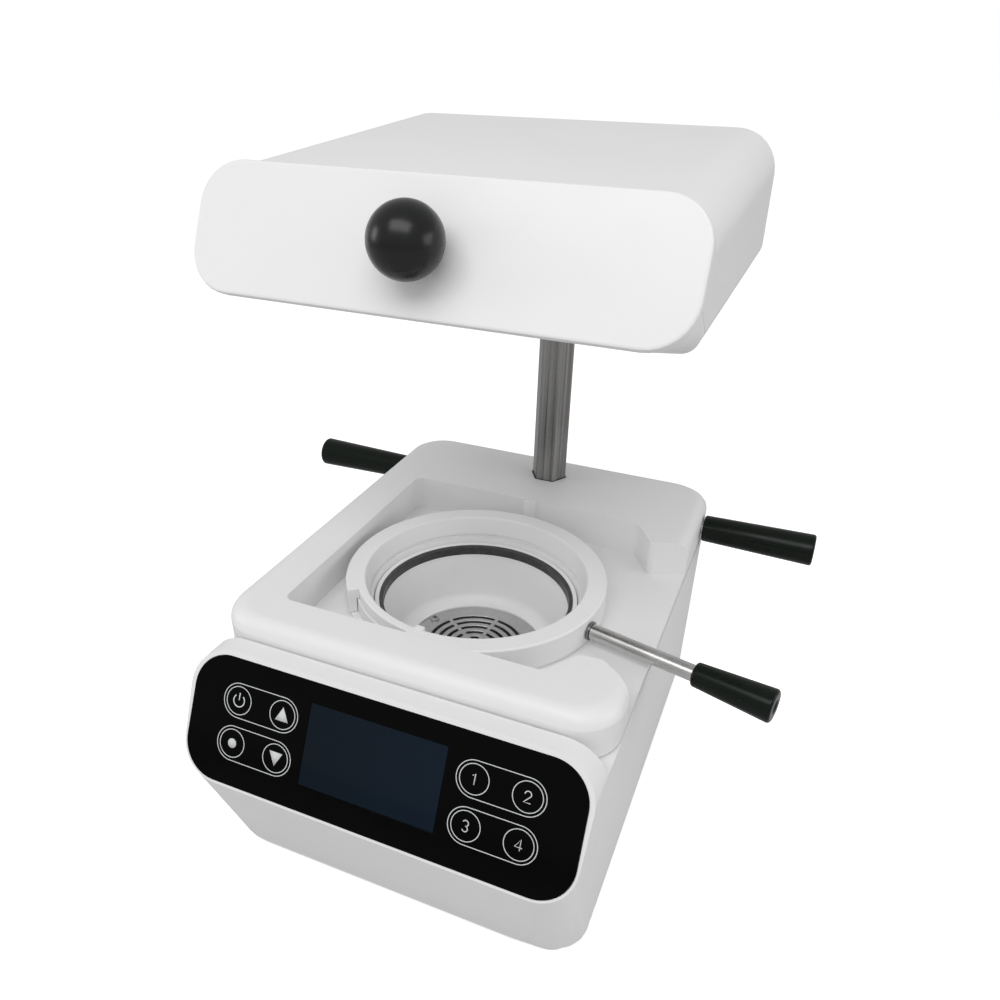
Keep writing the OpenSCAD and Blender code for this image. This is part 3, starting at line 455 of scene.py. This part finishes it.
PANEL_LEAN = math.radians(25)
PANEL_AHEAD = 0.236
PANEL_DROP = 0.0125
PANEL_HIGH = 64.0
PANEL_ROUND = 19.0
FACE = np.array([[1, 0, 0, 0],
                 [0, -math.sin(PANEL_LEAN), -math.cos(PANEL_LEAN), COLUMN_Y - PANEL_AHEAD],
                 [0, -math.cos(PANEL_LEAN), math.sin(PANEL_LEAN), TRAY_TOP - PANEL_DROP],
                 [0, 0, 0, 1]])

PRINT_Z = 0.47
PRINT_THICK = 0.03
KEY_X = (50.3, 75.5)
KEY_Y = (20.6, 42.4)
KEY_ROUND = 7.0
PAIR_ROUND = 8.6
OUTLINE = 0.42
FIGURE_HIGH = 5.2
FIGURE_LINE = 0.5
POWER_ROUND = 3.1
POWER_LINE = 0.6
POWER_STROKE = (4.0, 0.2)
DOT_ROUND = 2.4
ARROW_HALF = 3.7
ARROW_TIP = 3.9
ARROW_FOOT = 3.1


def on_face(points):
    """Millimetre points of the panel plane, placed in the part's frame."""
    return np.asarray(points, float) * MM @ FACE[:3, :3].T + FACE[:3, 3]


def ribbon(path, width, closed=True):
    """Flat strip of that width along a path: each point moved half the width to both sides."""
    p = np.asarray(path, float)
    if closed:
        ahead, behind = np.roll(p, -1, 0), np.roll(p, 1, 0)
    else:
        ahead, behind = np.vstack([p[1:], p[-1:]]), np.vstack([p[:1], p[:-1]])
    along = ahead - behind
    along = along / np.linalg.norm(along, axis=1, keepdims=True)
    side = np.stack([-along[:, 1], along[:, 0]], 1) * width / 2
    edges = np.vstack([p + side, p - side])
    i = np.arange(len(p) if closed else len(p) - 1)
    k = (i + 1) % len(p)
    return np.c_[edges, np.full(len(edges), PRINT_Z)], np.stack([i, k, k + len(p), i + len(p)], 1)


def filled(outline):
    """Filled convex shape from its outline."""
    p = np.asarray(outline, float)
    return np.c_[p, np.full(len(p), PRINT_Z)], [tuple(range(len(p)))]


def arc(x, y, radius, start, end, count):
    """Points of an arc in degrees about a centre."""
    t = np.radians(np.linspace(start, end, count))
    return np.stack([x + radius * np.cos(t), y + radius * np.sin(t)], 1)


def figure(number, x, y):
    """Plain figure 1 to 4, drawn with strips."""
    half = FIGURE_HIGH / 2
    strokes = {
        1: [[[-1.0, -half + 1.2], [0.25, -half], [0.25, half]]],
        2: [np.vstack([arc(0, -half + 1.5, 1.5, 180, 380, 18), [[-1.6, half]], [[1.7, half]]])],
        3: [arc(-0.1, -half + 1.35, 1.35, 200, 450, 18), arc(-0.1, half - 1.3, 1.3, 270, 520, 18)],
        4: [[[1.8, 1.1], [-1.7, 1.1], [0.8, -half], [0.8, half]]],
    }[number]
    return [ribbon(np.asarray(path, float) + (x, y), FIGURE_LINE, False) for path in strokes]


def key_signs():
    """Signs of the touch keys: two keys in each long ring, with an inner ring on each key."""
    near, far = KEY_X
    high, low = KEY_Y
    parts = []
    for left, right in ((-far, -near), (near, far)):
        for y in KEY_Y:
            pair = np.vstack([arc(right, y, PAIR_ROUND, -90, 90, 40),
                              arc(left, y, PAIR_ROUND, 90, 270, 40)])
            parts.append(ribbon(pair, OUTLINE))
            for x in (left, right):
                parts.append(ribbon(arc(x, y, KEY_ROUND, 0, 356, 72), OUTLINE))
    parts.append(ribbon(arc(-far, high, POWER_ROUND, -50, 230, 40), POWER_LINE, False))
    parts.append(ribbon([[-far, high - end] for end in POWER_STROKE], POWER_LINE, False))
    parts.append(filled(arc(-far, low, DOT_ROUND, 0, 350, 36)))
    for y, turn in ((high, 1), (low, -1)):
        arrow = np.array([[0, -ARROW_TIP], [ARROW_HALF, ARROW_FOOT], [-ARROW_HALF, ARROW_FOOT]])
        parts.append(filled(arrow * turn + (-near, y)))
    for row, y in enumerate(KEY_Y):
        for column, x in enumerate(KEY_X):
            parts += figure(2 * row + column + 1, x, y)
    verts, faces = join(parts)
    signs = piece("key_signs", (on_face(verts), faces), "control_panel", finish=KEY_PRINT,
                  smooth=30, closed=False)
    thicken(signs, PRINT_THICK * MM)


# Clamp ring: profile points are (radius, height), turns are in degrees from +X

WALL_TURNS = (261, 580)
RECESS_TURNS = (219.5, 261.5)
LUG_TURNS = (263.2, 267.8)


def clamp_ring():
    """Clamp ring with its outer wall, the open recess in it, and the lug beside the recess."""
    inside = [(62.5, 126), (61.7, 125.1), (59.5, 115.2), (63.4, 115.2), (63.4, 119.8)]
    wall = [(67.9, 119.8), (67.9, 111.3), (72.8, 111.3), (72.8, 125.3), (72.1, 126)]
    ledge = [(66.7, 119.8), (66.7, 125.6), (66.3, 126)]
    lug = [(60.6, 118), (64.2, 118), (64.2, 127.2), (60.6, 127.2)]
    sector("clamp_wall", inside + wall, WALL_TURNS, "clamp_ring", stands_for=True)
    sector("clamp_recess", inside + ledge, RECESS_TURNS, "clamp_ring")
    sector("clamp_lug", lug, LUG_TURNS, "clamp_ring", edge=0.0009)


# Mouth of the bowl: profile points are (radius, height, corner radius)

SEAL_BAND = [(52.65, 104.7, 0.3), (52.65, 110.0, 0.5), (54.9, 110.3, 0.3), (54.9, 105.6, 0.2),
             (58.3, 105.6, 0.1), (58.3, 105.2, 0.1), (54.1, 105.2, 0.1), (54.1, 104.7, 0)]
BOWL_RIM = [(55.0, 105.8, 0.1), (55.0, 110.4, 0.3), (57.3, 110.8, 0.3), (57.3, 105.8, 0)]
BEAD_PLACE = (52.55, 104.2)
BEAD_SIZE = (0.55, 0.5)


def bowl_mouth():
    """Rubber seal on the bowl's lip, the white rim round it, and the bright bead below it."""
    turned("bowl_seal_form", SEAL_BAND, "bowl_seal", steps=128, smooth=50, stands_for=True)
    turned("bowl_rim", BOWL_RIM, "bowl", steps=128, smooth=50, slot="white_moulding")
    t = np.linspace(0, 2 * np.pi, 10, endpoint=False)
    bead = np.stack([BEAD_PLACE[0] + BEAD_SIZE[0] * np.cos(t),
                     BEAD_PLACE[1] + BEAD_SIZE[1] * np.sin(t), np.zeros(len(t))], 1)
    turned("bowl_bead", bead, "bowl", steps=128, smooth=180, slot="white_moulding")


# Grille at the foot of the bowl

GRILLE_LOW = 72.05
GRILLE_TOP = 74.85
GRILLE_HOLE = 3.0
GRILLE_RAISED = 32.0
GRILLE_ROUND = 39.0
FLANGE_TOP = 74.05
FLANGE_SLOPE = 0.4
SLOT_RINGS = (7.0, 12.2, 17.5, 22.6, 27.6)
SLOT_HALF = 1.15
SPOKE_COUNT = 6
SPOKE_TURN = 24.7
SPOKE_HALF = 1.15
SPOKE_OVERLAP = 0.25
SPOKE_SUNK = 0.02
CHAMFER = 0.08
# Painted shade: a dark sheet under the grille that darkens its outer slots
SHADE_PAD = [(19.6, 72.005, 0), (38.6, 72.005, 0), (38.6, 72.045, 0), (19.6, 72.045, 0)]
SCREW_TURNS = (157, 277, 37)
SCREW_CIRCLE = 35.5
CROSS_Z = 75.82
CROSS_LONG = 1.7
CROSS_HALF = 0.35
CROSS_THICK = 0.04


def grille_lands():
    """Rings between the rows of slots, each turned from a profile with a small chamfer."""
    slot_edges = [edge for r in SLOT_RINGS for edge in (r - SLOT_HALF, r + SLOT_HALF)]
    edges = [GRILLE_HOLE] + slot_edges + [GRILLE_RAISED]
    shapes = []
    for inner, outer in zip(edges[::2], edges[1::2]):
        outside = [(outer, GRILLE_LOW), (outer, GRILLE_TOP - CHAMFER), (outer - CHAMFER, GRILLE_TOP)]
        if outer == GRILLE_RAISED:
            outside = [(GRILLE_ROUND, GRILLE_LOW), (GRILLE_ROUND, FLANGE_TOP),
                       (outer + FLANGE_SLOPE, FLANGE_TOP), (outer, GRILLE_TOP)]
        land = [(inner, GRILLE_LOW)] + outside + [(inner + CHAMFER, GRILLE_TOP),
                                                  (inner, GRILLE_TOP - CHAMFER)]
        shapes.append(revolve(np.array(land) * MM, RING_AXIS, 128))
    return shapes


def grille_spokes():
    """Short bars across each row of slots, in straight rows from the middle outwards.

    Each bar reaches a little into the rings and lies just below their faces.
    """
    corners = np.array([(a, b, z) for z in (GRILLE_LOW + SPOKE_SUNK, GRILLE_TOP - SPOKE_SUNK)
                        for a, b in ((-1, -1), (1, -1), (1, 1), (-1, 1))])
    sides = [(0, 3, 2, 1), (4, 5, 6, 7), (0, 1, 5, 4), (1, 2, 6, 5), (2, 3, 7, 6), (3, 0, 4, 7)]
    shapes = []
    for r in SLOT_RINGS:
        for turn in np.radians(SPOKE_TURN + 360 / SPOKE_COUNT * np.arange(SPOKE_COUNT)):
            along = r + corners[:, 0] * (SLOT_HALF + SPOKE_OVERLAP)
            across = corners[:, 1] * SPOKE_HALF
            bar = np.stack([along * np.cos(turn) - across * np.sin(turn),
                            along * np.sin(turn) + across * np.cos(turn), corners[:, 2]], 1)
            shapes.append((bar * MM + RING_AXIS, sides))
    return shapes


def grille():
    """Grille disc of rings and spokes, and a dark sheet under it: painted shade that shows through
    its slots.
    """
    piece("grille_disc_form", join(grille_lands() + grille_spokes()), "grille_disc", smooth=30,
          stands_for=True)
    # Dark sheet of painted shade under the grille's slots
    turned("grille_shade_pad", SHADE_PAD, "grille_disc", slot="foot_rubber")


def screw_cross_shade():
    """Painted shade of each grille screw's cross recess: dark bars on the screw's head."""
    bars = []
    for place in np.radians(SCREW_TURNS):
        centre = np.array([SCREW_CIRCLE * np.cos(place), SCREW_CIRCLE * np.sin(place), CROSS_Z])
        for turn in np.radians((30, 120)):
            along = np.array([np.cos(turn), np.sin(turn), 0]) * CROSS_LONG
            aside = np.array([-np.sin(turn), np.cos(turn), 0]) * CROSS_HALF
            bar = centre + np.array([-along - aside, along - aside, along + aside, aside - along])
            bars.append((bar * MM + RING_AXIS, [(0, 1, 2, 3)]))
    # Painted shade: dark bars stand in for the shade inside each cross recess
    shade_bars = piece("grille_screw_cross_shade", join(bars), "grille_screws", slot="foot_rubber",
                    closed=False)
    thicken(shade_bars, CROSS_THICK * MM)


# Tray

TRAY_ROUND = 8.0
TRAY_HALF = 105.0
TRAY_REAR = 143.152
TRAY_CORNER = 22.0
SKIN_LOW = 106.1
SKIN_PROUD = (0.12, -0.5)
SKIN_TAIL = 5.0
SKIN_ARC = 22.5
BOSS = [(0, 109.2, 0), (4.6, 109.2, 0), (4.3, 130.2, 0.7), (0, 130.2, 0)]
BOSS_PLACE = (0.001, RING_Y + 0.0863, 0)


def tray_boss():
    """Small round boss on the rear wall of the tray's pocket."""
    turned("tray_boss", BOSS, "tray", BOSS_PLACE, steps=48, closed=False, slot="white_moulding")


def tray_corner(name, side):
    """Skin over a rear corner of the tray, just proud of it.

    Each row follows the tray's own outline: at the turn t of its rounded upper edge the outline
    lies TRAY_ROUND (1 - cos t) further in and TRAY_ROUND (1 - sin t) below the top.
    """
    rows = [(SKIN_LOW, 0.5, TRAY_CORNER)]
    for t in np.radians((0, SKIN_ARC, 2 * SKIN_ARC)):
        inset = TRAY_ROUND * (1 - np.cos(t))
        rows.append((TRAY_TOP / MM - TRAY_ROUND * (1 - np.sin(t)), inset, TRAY_CORNER - inset / 2))
    u = np.radians(np.linspace(0, 90, 9))
    layers = []
    for proud in SKIN_PROUD:
        layer = []
        for z, inset, radius in rows:
            x, y = TRAY_HALF - inset - radius, TRAY_REAR - inset - radius
            across = x + (radius + proud) * np.cos(u)
            back = y + (radius + proud) * np.sin(u)
            across = np.r_[across[0], across, x - SKIN_TAIL]
            back = np.r_[y - SKIN_TAIL, back, back[-1]]
            layer.append(np.stack([side * across, back, np.full(len(back), z)], 1))
        layers.append(np.array(layer))
    grid = np.concatenate([layers[0], layers[1][::-1]])
    rings, length = grid.shape[:2]
    first = np.arange(rings) * length
    faces = grid_faces(rings, length, wrap_rows=True).tolist() + [first, first + length - 1]
    piece(name, (grid.reshape(-1, 3) * MM, faces), "tray", slot="white_moulding")


# Console: the foot of the body, its lower right front corner and the rim round the panel

FOOT_FRONT = -131.05
FOOT_HALF = 104.5
FOOT_TOP = 7.5
FOOT_LOW = 3.5
FOOT_SPREAD = 1.2
FOOT_FRONT_BAND = 10.0
FOOT_SIDE_BAND = 8.0
CORNER_WIDE = 32.0
CORNER_TIGHT = 18.0
CORNER_FULL_Z = 8.0
CORNER_END_Z = 56.0
RIM_WIDE = 2.5
RIM_HALF = 105.0
RIM_STEP = 1.3
RIM_DEPTH = 1.3
RIM_FADE = 0.4
NEAR = 0.3


def cut_level_edges(mesh):
    """Cuts the long level edges of the lower right front corner, so that it can be reshaped."""
    bm = bmesh.new()
    bm.from_mesh(mesh)
    level = [e for e in bm.edges if e.calc_length() > 2 * MM
             and abs(e.verts[0].co.z - e.verts[1].co.z) < MM
             and all(v.co.z < CORNER_END_Z * MM
                     and v.co.x > (FOOT_HALF - CORNER_WIDE - 0.5) * MM
                     and v.co.y < (FOOT_FRONT + CORNER_WIDE + 0.5) * MM for v in e.verts)]
    bmesh.ops.subdivide_edges(bm, edges=level, cuts=3)
    bmesh.ops.triangulate(bm, faces=[f for f in bm.faces if len(f.verts) > 4])
    bm.to_mesh(mesh)
    bm.free()


def tighter_corner(obj):
    """Spreads the body's lowest edge a little and narrows its lower right front corner.

    The rounding goes from wide to tight. A point at the polar angle a about the wide arc's
    centre moves outwards by the ratio of the two outlines there: the tight arc's centre is
    off = wide - tight away on both axes, so its distance is q + sqrt(q^2 - 2 off^2 + tight^2),
    with q = off (cos a + sin a), and along the straight sides it is wide / cos a. The move
    fades from CORNER_FULL_Z up to CORNER_END_Z.
    """
    cut_level_edges(obj.data)
    p = points_of(obj) / MM
    spread = np.clip((FOOT_TOP - p[:, 2]) / (FOOT_TOP - FOOT_LOW), 0, 1) * FOOT_SPREAD
    p[:, 1] -= np.where(p[:, 1] < FOOT_FRONT + FOOT_FRONT_BAND, spread, 0)
    p[:, 0] += np.where(np.abs(p[:, 0]) > FOOT_HALF - FOOT_SIDE_BAND, spread, 0) * np.sign(p[:, 0])
    across = p[:, 0] - (FOOT_HALF - CORNER_WIDE)
    ahead = FOOT_FRONT + CORNER_WIDE - p[:, 1]
    a = np.arctan2(np.maximum(ahead, 0), np.maximum(across, 1e-6))
    a = np.minimum(a, np.pi / 2 - a)
    off = CORNER_WIDE - CORNER_TIGHT
    q = off * (np.cos(a) + np.sin(a))
    tight = q + np.sqrt(np.maximum(q * q - 2 * off ** 2 + CORNER_TIGHT ** 2, 0))
    reach = np.where(CORNER_WIDE * np.tan(a) < off, CORNER_WIDE / np.cos(a), tight)
    fade = np.clip((CORNER_END_Z - p[:, 2]) / (CORNER_END_Z - CORNER_FULL_Z), 0, 1)
    push = np.where((across > 0) & (ahead > 0), (reach / CORNER_WIDE - 1) * fade, 0)
    p[:, 0] += across * push
    p[:, 1] -= ahead * push
    move_points(obj, p * MM)


def narrower_rim(obj):
    """Draws the lower and side edges of the sloping face in, towards the panel.

    The edge is a rounded rectangle in the panel plane. A point on it moves inwards along the
    outline's normal, by RIM_STEP below the middle of the panel and by less above it.
    """
    p = (points_of(obj) - FACE[:3, 3]) @ FACE[:3, :3] / MM
    half_high, radius = PANEL_HIGH / 2 + RIM_WIDE, PANEL_ROUND + RIM_WIDE
    x, y = p[:, 0], p[:, 1] - PANEL_HIGH / 2
    over = np.stack([np.abs(x) - RIM_HALF + radius, np.abs(y) - half_high + radius], 1)
    out = np.maximum(over, 0)
    length = np.linalg.norm(out, axis=1, keepdims=True)
    most = over.max(1, keepdims=True)
    distance = length[:, 0] + np.minimum(most[:, 0], 0) - radius
    on_edge = (np.abs(distance) < NEAR) & (p[:, 2] > -RIM_DEPTH) & (p[:, 2] < NEAR)
    normal = np.where(length > 0, out / np.maximum(length, 1e-9), (over >= most).astype(float))
    step = np.clip(1 + y / (half_high * RIM_FADE), 0, 1) * RIM_STEP * on_edge
    p[:, 0] -= normal[:, 0] * np.sign(x) * step
    p[:, 1] -= normal[:, 1] * np.sign(y) * step
    move_points(obj, on_face(p))


shell = cad_copy("body_shell", edge=0.0005)
narrower_rim(shell)
tighter_corner(shell)
cad_copy("control_panel", edge=0.0002)
cad_copy("display", edge=0.0001)
key_signs()
for name in ("base_plate", "feet", "rear_panel", "rear_screws", "mains_inlet", "inlet_pins",
             "switch_frame", "base_screws"):
    cad_copy(name, edge=0.0002)
cad_copy("switch_rocker", edge=0.0004)

# Column, bowl, tray and clamp

cad_copy("column", edge=0.0006, angle=30)
cad_copy("bowl", edge=0.0006, angle=30)
bowl_mouth()
grille()
cad_copy("grille_screws", edge=0.0002)
screw_cross_shade()
cad_copy("tray", edge=0.0022)
tray_boss()
tray_corner("tray_corner_left", -1)
tray_corner("tray_corner_right", 1)
cad_copy("seat_ring", edge=0.0004)
cad_copy("bayonet_pins", edge=0.0002)
clamp_ring()
for name in ("lever_collar", "lever_rod", "left_handle_rod", "right_handle_rod"):
    cad_copy(name, edge=0.0003)
for name in ("lever_grip", "left_grip", "right_grip"):
    cad_copy(name, edge=0.0005)

# Head

cad_copy("head_top_shell", edge=0.0008)
cad_copy("head_bottom_cover", edge=0.0006)
cad_copy("head_fascia", edge=0.0006)
cad_copy("ball_knob", edge=0, finish=KNOB_GLOSS)
for name in ("head_screws", "reflector", "pivot_hub", "guide_bush"):
    cad_copy(name, edge=0.0002)

# Solids that show as they are take their own finish

for name, node in frame["nodes"].items():
    if not node.hide_render:
        node.data.materials.clear()
        node.data.materials.append(FINISH[SLOT_OF[name]])


# Floor and light

FLOOR_HALF = 6.0
FLOOR_Z = -0.0002
FLOOR_BOUNCE = 0.6
ROOM_LIGHT = 0.57


def for_camera(nodes, links, other, seen, socket):
    """Feeds the socket what the camera sees, and the other shader for every other ray."""
    path = nodes.new("ShaderNodeLightPath")
    pick = nodes.new("ShaderNodeMixShader")
    links.new(path.outputs["Is Camera Ray"], pick.inputs["Fac"])
    links.new(other, pick.inputs[1])
    links.new(seen, pick.inputs[2])
    links.new(pick.outputs["Shader"], socket)


def bench():
    """Flat floor that looks white to the camera, keeps soft shadows and bounces less light."""
    corners = [(x * FLOOR_HALF, y * FLOOR_HALF, 0) for x, y in ((-1, -1), (1, -1), (1, 1), (-1, 1))]
    mesh = bpy.data.meshes.new("bench_floor")
    mesh.from_pydata(corners, [], [(0, 1, 2, 3)])
    obj = bpy.data.objects.new("bench_floor", mesh)
    bpy.context.scene.collection.objects.link(obj)
    obj.location.z = FLOOR_Z
    mat, nodes, links, bsdf = shader("bench_white")
    bsdf.inputs["Base Color"].default_value = (0.86, 0.86, 0.86, 1)
    bsdf.inputs["Roughness"].default_value = 0.7
    bsdf.inputs["Specular IOR Level"].default_value = 0.1
    glow = nodes.new("ShaderNodeEmission")
    glow.inputs["Color"].default_value = (1, 1, 1, 1)
    glow.inputs["Strength"].default_value = 0.55
    bounce = nodes.new("ShaderNodeBsdfDiffuse")
    bounce.inputs["Color"].default_value = (FLOOR_BOUNCE, FLOOR_BOUNCE, FLOOR_BOUNCE, 1)
    both = nodes.new("ShaderNodeAddShader")
    links.new(bsdf.outputs["BSDF"], both.inputs[0])
    links.new(glow.outputs["Emission"], both.inputs[1])
    for_camera(nodes, links, bounce.outputs["BSDF"], both.outputs["Shader"],
               nodes["Material Output"].inputs["Surface"])
    mesh.materials.append(mat)


def light_room():
    """Plain white world light, at full strength only to the camera."""
    world = bpy.data.worlds.new("room")
    bpy.context.scene.world = world
    world.use_nodes = True
    nodes, links = world.node_tree.nodes, world.node_tree.links
    around = nodes["Background"]
    seen = nodes.new("ShaderNodeBackground")
    for background, strength in ((around, ROOM_LIGHT), (seen, 1.0)):
        background.inputs["Color"].default_value = (1, 1, 1, 1)
        background.inputs["Strength"].default_value = strength
    for_camera(nodes, links, around.outputs["Background"], seen.outputs["Background"],
               nodes["World Output"].inputs["Surface"])


def lamp(name, place, target, size, power):
    """Soft rectangular lamp that looks at the target, with its longer side level."""
    data = bpy.data.lights.new(name, "AREA")
    data.shape = "RECTANGLE"
    data.size, data.size_y = size
    data.energy = power
    obj = bpy.data.objects.new(name, data)
    obj.visible_camera = False
    bpy.context.scene.collection.objects.link(obj)
    back = np.subtract(place, target)
    back = back / np.linalg.norm(back)
    level = np.cross((0, 0, 1), back)
    level = level / np.linalg.norm(level)
    stand = np.eye(4)
    stand[:3] = np.stack([level, np.cross(back, level), back, place], 1)
    obj.matrix_world = Matrix(stand.tolist())


bench()
light_room()
lamp("front_soft", place=(0.1, -0.95, 1.35), target=(0, 0, 0.15), size=(1.4, 0.7), power=10.6)
lamp("right_soft", place=(1.25, 0.1, 0.45), target=(0, 0.05, 0.15), size=(0.8, 0.5), power=2.6)
lamp("left_soft", place=(-1.05, -0.4, 0.5), target=(0, -0.05, 0.2), size=(0.3, 0.4), power=1.6)

bpy.context.scene.view_settings.view_transform = "Standard"
